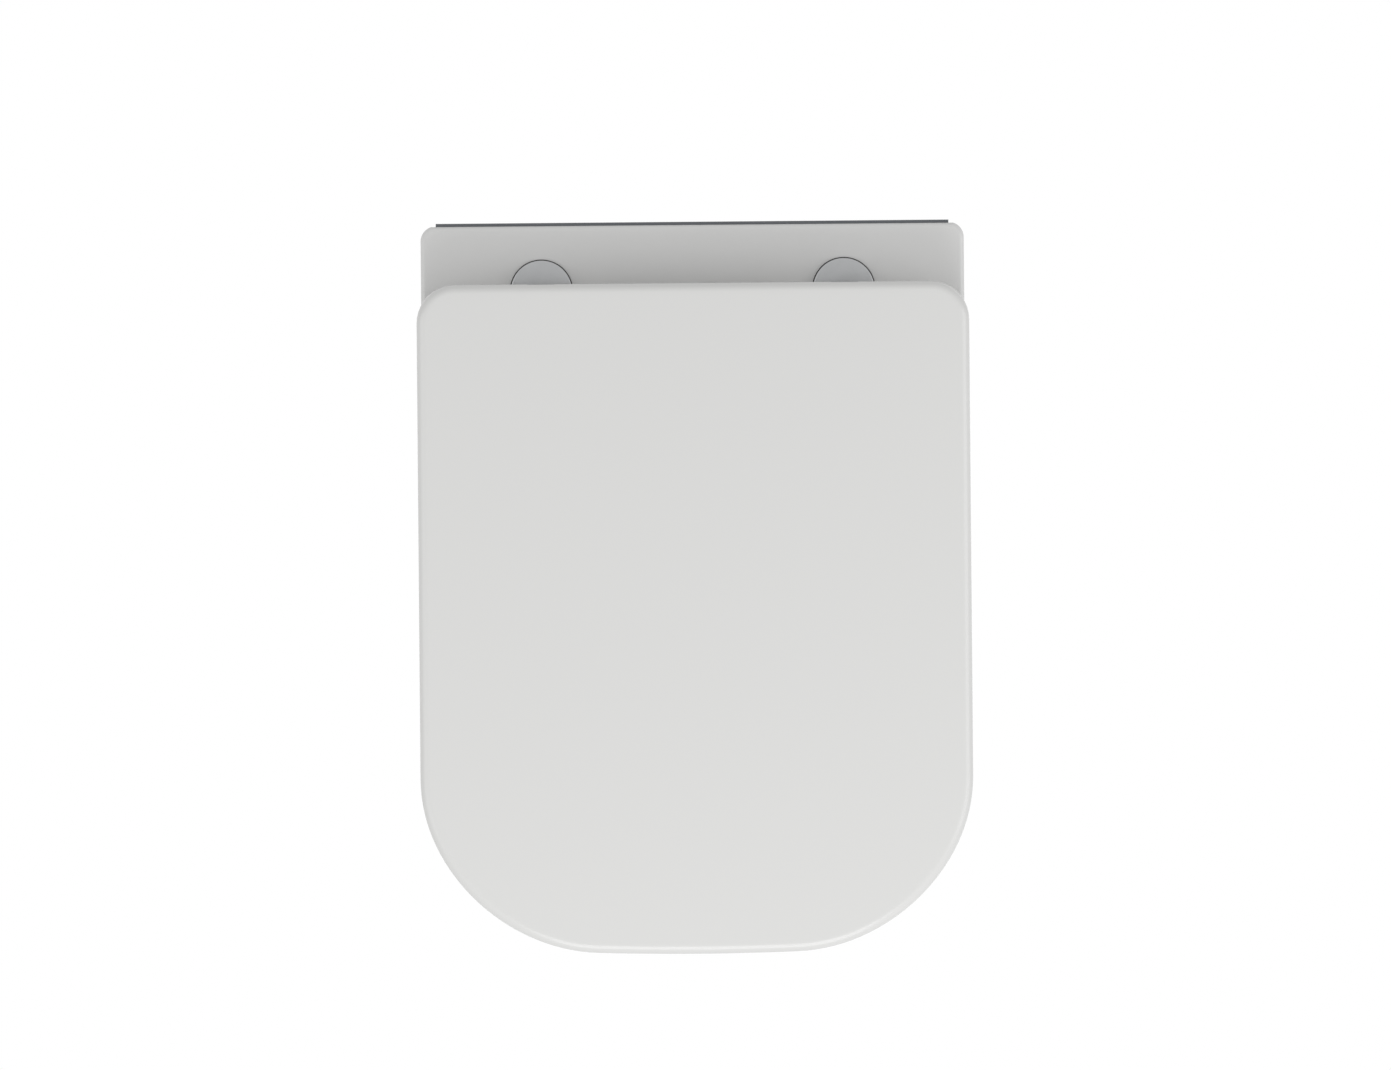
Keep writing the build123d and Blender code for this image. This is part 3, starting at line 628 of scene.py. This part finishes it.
# Cover discs, screws and feet
class TOILET_OT_add_cover_discs(Operator):
    """Model the round metal covers of the two hinges"""

    bl_idname = "toilet.add_cover_discs"
    bl_label = "Add cover discs"

    def execute(self, context):
        shape = context.scene.toilet_fixings
        for name in SIDES:
            low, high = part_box(f"hinge_disc_{name}")
            middle = (low + high) / 2
            bottom, top = (middle.x, middle.y, low.z), (middle.x, middle.y, high.z)
            radius = (high.x - low.x) / 2
            obj = add_rod(f"cover_disc_{name}", radius, bottom, top, shape.disc_steps)
            pick_top()
            bevel_rim(shape.disc_edge, DISC_EDGE_STEPS)
            pick_top()
            bpy.ops.mesh.inset(thickness=DISC_TOP_INSET)
            pick_top(-1)
            bpy.ops.mesh.inset(thickness=shape.disc_wall)
            raise_by(high.z - low.z - DISC_SKIN)
            end()
            metal_low, metal_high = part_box(f"hinge_bracket_{name}")
            front_corner = (
                metal_low.x - DISC_SLOT_GAP,
                middle.y - DISC_SLOT_REACH,
                low.z - OVERCUT,
            )
            rear_corner = (metal_high.x + DISC_SLOT_GAP, middle.y, high.z - DISC_SKIN)
            combine(obj, add_box("disc_slot", front_corner, rear_corner))
            metal = turned_metal(name, middle)
            hand_over(obj, metal, "pan", [f"hinge_disc_{name}"])
        return {"FINISHED"}


def copy_to(source, move, name):
    """A copy of a finished mesh at another place, with a mesh of its own."""
    only(source)
    bpy.ops.object.duplicate()
    copy = bpy.context.object
    call_it(copy, name)
    bpy.ops.transform.translate(value=move)
    bpy.ops.object.transform_apply(location=True, rotation=True, scale=True)
    return copy


def copy_round(first, places, node):
    """The first piece and its copies at the other places."""
    return [first] + [
        copy_to(first, place - places[0], f"{node}_{number}")
        for number, place in enumerate(places[1:], 2)
    ]


class TOILET_OT_add_screws(Operator):
    """Model a pan head screw for the hinge knuckles and copy it to its places"""

    bl_idname = "toilet.add_screws"
    bl_label = "Add screws"

    def execute(self, context):
        slot = context.scene.toilet_fixings.screw_slot
        for node, body in (("seat_block_screws", "seat"), ("lid_block_screws", "lid")):
            low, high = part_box(node)
            places = screw_places(node)
            middle = places[0]
            head = high.x - max(p.x for p in places)
            shank = head / 2
            bottom, top = middle + up(low.z), middle + up(low.z + HEAD_HEIGHT)
            first = add_rod(f"{node}_1", head, bottom, top, SCREW_STEPS)
            pick_top(-1)
            bevel_rim(HEAD_EDGE, SMALL_EDGE_STEPS)
            pick_top()
            bpy.ops.mesh.inset(thickness=head - shank)
            raise_by(high.z - low.z - HEAD_HEIGHT - shank)
            for ring in TIP_RINGS:
                raise_by(shank / 2)
                bpy.ops.transform.resize(
                    value=(ring, ring, 1), center_override=middle + up(high.z)
                )
            end()
            bars = []
            for reach_x, reach_y in ((CROSS_REACH, slot / 2), (slot / 2, CROSS_REACH)):
                half = Vector((reach_x, reach_y, CROSS_DEPTH))
                bars.append(add_box("cross", bottom - half, bottom + half))
            combine(bars[0], bars[1], "UNION")
            combine(first, bars[0])
            for obj in copy_round(first, places, node):
                hand_over(obj, zinc_plate(), body, [node])
        return {"FINISHED"}


class TOILET_OT_add_rubber_feet(Operator):
    """Model the rubber feet of the seat and the pads of the lid"""

    bl_idname = "toilet.add_rubber_feet"
    bl_label = "Add rubber feet"

    def execute(self, context):
        edge = context.scene.toilet_fixings.foot_edge
        for node, body, top in (
            ("seat_buffers", "seat", SEAT_LOW.z),
            ("lid_buffers", "lid", LID_LOW.z),
        ):
            places = foot_places(node)
            low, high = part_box(node)
            radius = high.x - max(p.x for p in places)
            first = add_rod(f"{node}_1", radius, places[0] + up(low.z), places[0] + up(top))
            pick_top(-1)
            bevel_rim(min(edge, (top - low.z) / 3), SMALL_EDGE_STEPS)
            pick_top(-1)
            bpy.ops.mesh.inset(thickness=radius * FOOT_RIM_SHARE, depth=-FOOT_DENT)
            pick_top()
            bpy.ops.mesh.inset(thickness=radius - FOOT_STEM_RADIUS)
            raise_by(high.z - top)
            end()
            for obj in copy_round(first, places, node):
                hand_over(obj, rubber("white_rubber"), body, [node])
        return {"FINISHED"}


# Materials
def noise(tree, vector, scale, detail=2.0):
    """A noise texture on the given coordinates."""
    node = tree.nodes.new("ShaderNodeTexNoise")
    node.inputs["Scale"].default_value = scale
    node.inputs["Detail"].default_value = detail
    tree.links.new(vector, node.inputs["Vector"])
    return node.outputs["Fac"]


def spread(tree, value, low, high):
    """Maps a texture's middle range to the given range."""
    node = tree.nodes.new("ShaderNodeMapRange")
    node.inputs["From Min"].default_value = TEXTURE_RANGE[0]
    node.inputs["From Max"].default_value = TEXTURE_RANGE[1]
    node.inputs["To Min"].default_value = low
    node.inputs["To Max"].default_value = high
    tree.links.new(value, node.inputs["Value"])
    return node.outputs["Result"]


def tinted(tree, tint, value, low, high):
    """The tint, darkened or lightened by a texture."""
    node = tree.nodes.new("ShaderNodeVectorMath")
    node.operation = "SCALE"
    tree.links.new(tint, node.inputs[0])
    tree.links.new(spread(tree, value, low, high), node.inputs["Scale"])
    return node.outputs["Vector"]


def placed(tree, vector, scale=(1, 1, 1), offset=(0, 0, 0)):
    """The coordinates, stretched along the axes and moved."""
    node = tree.nodes.new("ShaderNodeMapping")
    node.inputs["Location"].default_value = offset
    node.inputs["Scale"].default_value = scale
    tree.links.new(vector, node.inputs["Vector"])
    return node.outputs["Vector"]


def summed(tree, first, second, share):
    """The first height plus a share of the second."""
    node = tree.nodes.new("ShaderNodeMath")
    node.operation = "MULTIPLY_ADD"
    node.inputs[1].default_value = share
    tree.links.new(second, node.inputs[0])
    tree.links.new(first, node.inputs[2])
    return node.outputs["Value"]


def finish_group(name, pattern):
    """A node group with a tint, made once: pattern gives its colour, roughness and height."""
    tree = bpy.data.node_groups.get(name)
    if tree:
        return tree
    tree = bpy.data.node_groups.new(name, "ShaderNodeTree")
    tree.interface.new_socket(name="Tint", in_out="INPUT", socket_type="NodeSocketColor")
    for label, kind in GROUP_OUTPUTS.items():
        tree.interface.new_socket(name=label, in_out="OUTPUT", socket_type=kind)
    tint = tree.nodes.new("NodeGroupInput").outputs["Tint"]
    stop = tree.nodes.new("NodeGroupOutput")
    coordinates = tree.nodes.new("ShaderNodeTexCoord").outputs["Object"]
    for label, value in zip(GROUP_OUTPUTS, pattern(tree, tint, coordinates)):
        tree.links.new(value, stop.inputs[label])
    return tree


def skin(colour_scale, colour_range, rough_scale, rough_range, wave, grain, share):
    """A pattern whose colour, roughness and height vary at their own scales."""

    def pattern(tree, tint, coordinates):
        patch = noise(tree, coordinates, colour_scale)
        dull = noise(tree, coordinates, rough_scale, 3.0)
        wide, fine = noise(tree, coordinates, wave, 1.0), noise(tree, coordinates, grain, 3.0)
        return (
            tinted(tree, tint, patch, *colour_range),
            spread(tree, dull, *rough_range),
            summed(tree, wide, fine, share),
        )

    return pattern


def finish(name, tree, tint, bump, metallic=0.0, coat=0.0, ior=1.5):
    """A material of this name that already exists, or else a new one that uses a finish group."""
    material = bpy.data.materials.get(name)
    if material:
        return material
    material = bpy.data.materials.new(name)
    material.use_nodes = True
    nodes, links = material.node_tree.nodes, material.node_tree.links
    shader = nodes["Principled BSDF"]
    shader.inputs["Metallic"].default_value = metallic
    shader.inputs["Coat Weight"].default_value = coat
    shader.inputs["Coat Roughness"].default_value = COAT_ROUGHNESS
    shader.inputs["IOR"].default_value = ior
    group = nodes.new("ShaderNodeGroup")
    group.node_tree = tree
    group.inputs["Tint"].default_value = (*tint, 1)
    relief = nodes.new("ShaderNodeBump")
    relief.inputs["Strength"].default_value = 1.0
    relief.inputs["Distance"].default_value = bump
    links.new(group.outputs["Color"], shader.inputs["Base Color"])
    links.new(group.outputs["Roughness"], shader.inputs["Roughness"])
    links.new(group.outputs["Height"], relief.inputs["Height"])
    links.new(relief.outputs["Normal"], shader.inputs["Normal"])
    group.location = (-700, 0)
    relief.location = (-300, -200)
    return material


def glazed_ceramic():
    """Fired glaze: very smooth, with the soft unevenness of a slip casting."""
    pattern = skin(
        colour_scale=7,
        colour_range=(0.985, 1.0),
        rough_scale=40,
        rough_range=(0.07, 0.13),
        wave=16,
        grain=260,
        share=0.01,
    )
    tree = finish_group("Casting Glaze", pattern)
    tint = bpy.context.scene.toilet_finishes.glaze
    return finish("glazed_ceramic", tree, tint, bump=0.0004, coat=0.25, ior=1.52)


def moulded_white():
    """Hard moulded seat material: even, with a faint orange peel."""
    pattern = skin(
        colour_scale=5,
        colour_range=(0.985, 1.0),
        rough_scale=30,
        rough_range=(0.34, 0.42),
        wave=22,
        grain=900,
        share=0.06,
    )
    tree = finish_group("Moulded Skin", pattern)
    tint = bpy.context.scene.toilet_finishes.moulding
    return finish("white_thermoset", tree, tint, bump=0.00012)


def moulded_plastic(name):
    """Injection moulded plastic with a fine eroded grain."""
    pattern = skin(
        colour_scale=12,
        colour_range=(0.96, 1.0),
        rough_scale=90,
        rough_range=(0.42, 0.52),
        wave=60,
        grain=2600,
        share=0.6,
    )
    tree = finish_group("Plastic Grain", pattern)
    tint = getattr(bpy.context.scene.toilet_finishes, name)
    return finish(name, tree, tint, bump=0.00005)


def rubber(name):
    """Moulded rubber with a dull, slightly blotchy skin."""
    pattern = skin(
        colour_scale=45,
        colour_range=(0.88, 1.0),
        rough_scale=160,
        rough_range=(0.62, 0.78),
        wave=80,
        grain=3200,
        share=0.9,
    )
    tree = finish_group("Rubber Skin", pattern)
    tint = getattr(bpy.context.scene.toilet_finishes, name)
    return finish(name, tree, tint, bump=0.00006, ior=1.45)


def zinc_plate():
    """Zinc plated steel: patchy crystals and fine scratches."""

    def pattern(tree, tint, coordinates):
        crystals = tree.nodes.new("ShaderNodeTexVoronoi")
        crystals.inputs["Scale"].default_value = 420
        tree.links.new(coordinates, crystals.inputs["Vector"])
        patch = crystals.outputs["Distance"]
        drawn_out = placed(tree, coordinates, scale=(300, 300, 6000))
        return (
            tinted(tree, tint, patch, 0.86, 1.0),
            spread(tree, patch, 0.26, 0.42),
            noise(tree, drawn_out, 1.0, 3.0),
        )

    tree = finish_group("Zinc Plate", pattern)
    tint = bpy.context.scene.toilet_finishes.zinc
    return finish("zinc_steel", tree, tint, bump=0.00002, metallic=1.0)


def foam_mat_and_painted_shade():
    """Closed cell foam: small cells with soft walls; its dark grey also paints the shade line
    along the pan's back edge.
    """

    def pattern(tree, tint, coordinates):
        cells = tree.nodes.new("ShaderNodeTexVoronoi")
        cells.feature = "SMOOTH_F1"
        cells.inputs["Scale"].default_value = 1400
        tree.links.new(coordinates, cells.inputs["Vector"])
        cell = cells.outputs["Distance"]
        return tinted(tree, tint, cell, 0.75, 1.1), spread(tree, cell, 0.7, 0.9), cell

    tree = finish_group("Foam Cells", pattern)
    tint = bpy.context.scene.toilet_finishes.foam_and_painted_shade
    return finish("grey_foam", tree, tint, bump=0.0002)


def plated_bracket():
    """Plated die casting, polished along its length."""

    def pattern(tree, tint, coordinates):
        lines = noise(tree, placed(tree, coordinates, scale=(2400, 60, 60)), 1.0, 3.0)
        return tinted(tree, tint, lines, 0.95, 1.0), spread(tree, lines, 0.14, 0.24), lines

    tree = finish_group("Polished Plating", pattern)
    tint = bpy.context.scene.toilet_finishes.bracket_metal
    return finish("plated_bracket", tree, tint, bump=0.00001, metallic=1.0)


def turned_metal(name, middle):
    """Satin plating with the fine rings of a lathe round the disc's own centre."""

    def pattern(tree, tint, coordinates):
        rings = tree.nodes.new("ShaderNodeTexWave")
        rings.wave_type = "RINGS"
        rings.rings_direction = "Z"
        rings.inputs["Scale"].default_value = 700
        rings.inputs["Distortion"].default_value = 1.5
        rings.inputs["Detail"].default_value = 2
        centred = placed(tree, coordinates, offset=(-middle.x, -middle.y, 0))
        tree.links.new(centred, rings.inputs["Vector"])
        ring = rings.outputs["Fac"]
        soft = noise(tree, coordinates, 120, 3.0)
        return tinted(tree, tint, ring, 0.97, 1.0), spread(tree, soft, 0.3, 0.38), ring

    tree = finish_group(f"Turned Rings {name.title()}", pattern)
    tint = bpy.context.scene.toilet_finishes.disc_metal
    return finish(f"satin_metal_{name}", tree, tint, bump=0.000004, metallic=1.0)


def dress(nodes, material):
    """Gives pieces of the construction model a material."""
    for node in nodes:
        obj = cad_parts[node]
        obj.data.materials.clear()
        obj.data.materials.append(material)


class TOILET_OT_finish_pan(Operator):
    """Give the pan, its mat and its fixings their finishes"""

    bl_idname = "toilet.finish_pan"
    bl_label = "Finish pan and fixings"

    def execute(self, context):
        dress(["pan"], glazed_ceramic())
        # The mat is a real sound mat; its dark tint also paints the shade line where the pan meets
        # the wall
        dress(["wall_mat"], foam_mat_and_painted_shade())
        dress(["stud_sleeves", "stud_caps"], moulded_plastic("white_plastic"))
        dress(["stud_washers", "stud_nuts", "hinge_bolts"], zinc_plate())
        dress(["flush_inlet_seal", "hinge_gaskets", "hinge_bushes"], rubber("black_rubber"))
        dress(["hinge_clamp_nuts"], moulded_plastic("grey_plastic"))
        return {"FINISHED"}


class TOILET_OT_finish_hinges(Operator):
    """Give the hinge parts their finishes"""

    bl_idname = "toilet.finish_hinges"
    bl_label = "Finish hinges"

    def execute(self, context):
        knuckles = [f"{part}_block_{side}" for part in ("seat", "lid") for side in SIDES]
        inner = ("damper_housing", "damper_rotor", "pin_bush")
        dress([f"hinge_bracket_{side}" for side in SIDES], plated_bracket())
        dress(["seat_pin", "lid_pin", "seat_block_screws", "lid_block_screws"], zinc_plate())
        dress(knuckles, moulded_plastic("white_plastic"))
        dress(
            [f"{part}_{piece}" for part in ("seat", "lid") for piece in inner],
            moulded_plastic("grey_plastic"),
        )
        return {"FINISHED"}


# Camera and light
def soft_light(name, energy, size, location):
    """A square area light pointed at the toilet."""
    bpy.ops.object.light_add(type="AREA", location=location)
    light = bpy.context.object
    call_it(light, name)
    light.data.energy = energy
    light.data.size = size
    light.rotation_mode = "QUATERNION"
    light.rotation_quaternion = (LIGHT_AIM - Vector(location)).to_track_quat("-Z", "Y")


def background(nodes, strength):
    """White light from all sides."""
    node = nodes.new("ShaderNodeBackground")
    node.inputs["Color"].default_value = (1, 1, 1, 1)
    node.inputs["Strength"].default_value = strength
    return node.outputs["Background"]


def white_room(room_light):
    """A world that is seen and mirrored as white, but lights the toilet more softly."""
    world = bpy.data.worlds.new("white_room")
    world.use_nodes = True
    nodes, links = world.node_tree.nodes, world.node_tree.links
    nodes.clear()
    rays = nodes.new("ShaderNodeLightPath")
    seen = rays.outputs["Is Camera Ray"]
    for kind in ("Is Glossy Ray", "Is Transmission Ray"):
        larger = nodes.new("ShaderNodeMath")
        larger.operation = "MAXIMUM"
        links.new(seen, larger.inputs[0])
        links.new(rays.outputs[kind], larger.inputs[1])
        seen = larger.outputs["Value"]
    mix = nodes.new("ShaderNodeMixShader")
    links.new(seen, mix.inputs["Fac"])
    links.new(background(nodes, room_light), mix.inputs[1])
    links.new(background(nodes, 1.0), mix.inputs[2])
    out = nodes.new("ShaderNodeOutputWorld")
    links.new(mix.outputs["Shader"], out.inputs["Surface"])
    return world


class TOILET_OT_set_stage(Operator):
    """Set the camera straight above the lid, the lights and the white background"""

    bl_idname = "toilet.set_stage"
    bl_label = "Set stage"

    def execute(self, context):
        scene, stage = context.scene, context.scene.toilet_stage
        bpy.ops.object.select_all(action="DESELECT")
        bpy.ops.object.camera_add(
            location=(stage.camera_x, stage.camera_y, LID_HIGH.z + stage.camera_height),
            rotation=(0, 0, stage.camera_roll),
        )
        scene.camera = context.object
        scene.camera.name = "camera"
        scene.camera.data.sensor_width = FILM_WIDTH
        scene.camera.data.lens = FILM_WIDTH * stage.camera_height / stage.picture_width
        scene.camera.data.clip_end = VIEW_END
        for name, (setting, size, location) in LIGHTS.items():
            soft_light(name, getattr(stage, setting), size, location)
        scene.world = white_room(stage.room_light)
        scene.view_settings.view_transform = "Standard"
        return {"FINISHED"}


class TOILET_PT_pieces(Panel):
    """The pieces of the wall hung toilet"""

    bl_idname = "TOILET_PT_pieces"
    bl_label = "Wall Hung Toilet"
    bl_space_type = "VIEW_3D"
    bl_region_type = "UI"
    bl_category = "Toilet"

    def draw(self, context):
        for title, group, operators in PANEL_ROWS:
            box = self.layout.box()
            box.label(text=title)
            settings = getattr(context.scene, group)
            for name in settings.__annotations__:
                box.prop(settings, name)
            for operator in operators:
                box.operator(operator.bl_idname)


PANEL_ROWS = [
    ("Lid", "toilet_lid", [TOILET_OT_add_lid]),
    ("Seat", "toilet_seat", [TOILET_OT_add_seat]),
    (
        "Fixings",
        "toilet_fixings",
        [TOILET_OT_add_cover_discs, TOILET_OT_add_screws, TOILET_OT_add_rubber_feet],
    ),
    ("Finishes", "toilet_finishes", [TOILET_OT_finish_pan, TOILET_OT_finish_hinges]),
    ("Stage", "toilet_stage", [TOILET_OT_set_stage]),
]
SETTINGS = {
    "toilet_lid": LidShape,
    "toilet_seat": SeatShape,
    "toilet_fixings": FixingShape,
    "toilet_finishes": Finishes,
    "toilet_stage": StageSettings,
}
CLASSES = [
    *SETTINGS.values(),
    *(operator for row in PANEL_ROWS for operator in row[2]),
    TOILET_PT_pieces,
]


def register():
    """Adds the settings, the operators and the panel to Blender."""
    for cls in CLASSES:
        bpy.utils.register_class(cls)
    for name, group in SETTINGS.items():
        setattr(bpy.types.Scene, name, PointerProperty(type=group))


def unregister():
    """Takes them out again."""
    for name in SETTINGS:
        delattr(bpy.types.Scene, name)
    for cls in reversed(CLASSES):
        bpy.utils.unregister_class(cls)


def main():
    register()
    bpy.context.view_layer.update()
    bpy.ops.toilet.finish_pan()
    bpy.ops.toilet.finish_hinges()
    bpy.ops.toilet.add_lid()
    bpy.ops.toilet.add_seat()
    bpy.ops.toilet.add_cover_discs()
    bpy.ops.toilet.add_screws()
    bpy.ops.toilet.add_rubber_feet()
    bpy.ops.toilet.set_stage()


if __name__ == "__main__":
    main()
